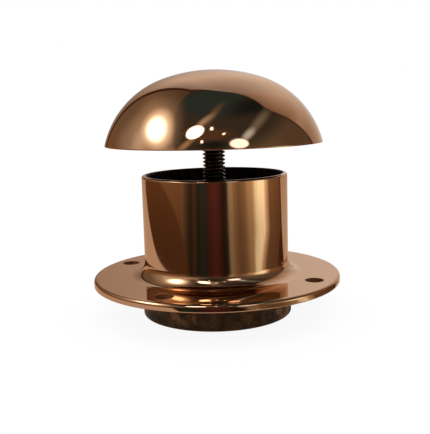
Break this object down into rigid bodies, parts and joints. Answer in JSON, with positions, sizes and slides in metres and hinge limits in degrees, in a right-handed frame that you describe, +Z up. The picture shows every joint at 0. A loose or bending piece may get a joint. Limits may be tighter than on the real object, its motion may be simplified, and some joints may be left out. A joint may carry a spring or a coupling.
{
  "type": "mushroom ventilator",
  "caption": "Round screw-down deck ventilator: a domed cap on a threaded spindle over a flanged collar, turned from below by a knob.",
  "frame": {"origin": "centre of the flange's underside, on the spindle's axis", "axes": "+Z up the spindle towards the cap; +X along the bridge bar inside the bore; +Y completes a right-handed frame"},
  "size_m": [0.14, 0.14, 0.1367],
  "materials": {
    "cap_bronze": "mirror polished",
    "casting_bronze": "mirror polished above the flange, as cast below it",
    "spindle_bronze": "machined, darkened",
    "bridge_bronze": "as cast, fettled",
    "fastener_brass": "turned",
    "knob_bronze": "turned, satin",
    "screen_brass": "drawn wire and rolled strip",
    "spring_steel": "ground",
    "gasket_rubber": "moulded, matt"
  },
  "bodies": {
    "casting": {"vent_body": "casting_bronze", "bridge": "bridge_bronze", "bridge_screws": "fastener_brass", "bridge_washers": "fastener_brass", "screen_frame": "screen_brass", "screen_hub_ring": "screen_brass", "insect_screen": "screen_brass", "screen_snap_ring": "spring_steel"},
    "gasket_carrier": {"cap_gasket": "gasket_rubber"},
    "cap_and_spindle": {"cap": "cap_bronze", "spindle": "spindle_bronze", "cap_lock_washer": "fastener_brass", "cap_lock_nut": "fastener_brass", "stop_washer": "fastener_brass", "knob": "knob_bronze", "knob_grub_screw": "spring_steel", "knob_washer": "fastener_brass", "knob_nut": "fastener_brass"}
  },
  "joints": [
    {"name": "cap_lift", "type": "slide", "parent": "casting", "child": "gasket_carrier", "axis": [0, 0, 1], "range_m": [-0.03576, 0]},
    {"name": "cap_turn", "type": "hinge", "parent": "gasket_carrier", "child": "cap_and_spindle", "pos_m": [0, 0, 0.05], "axis": [0, 0, 1], "range_deg": [-6080, 0]}
  ],
  "couplings": [
    {"joint": "cap_lift", "follows": "cap_turn", "m_per_rad": 0.00033688}
  ]
}
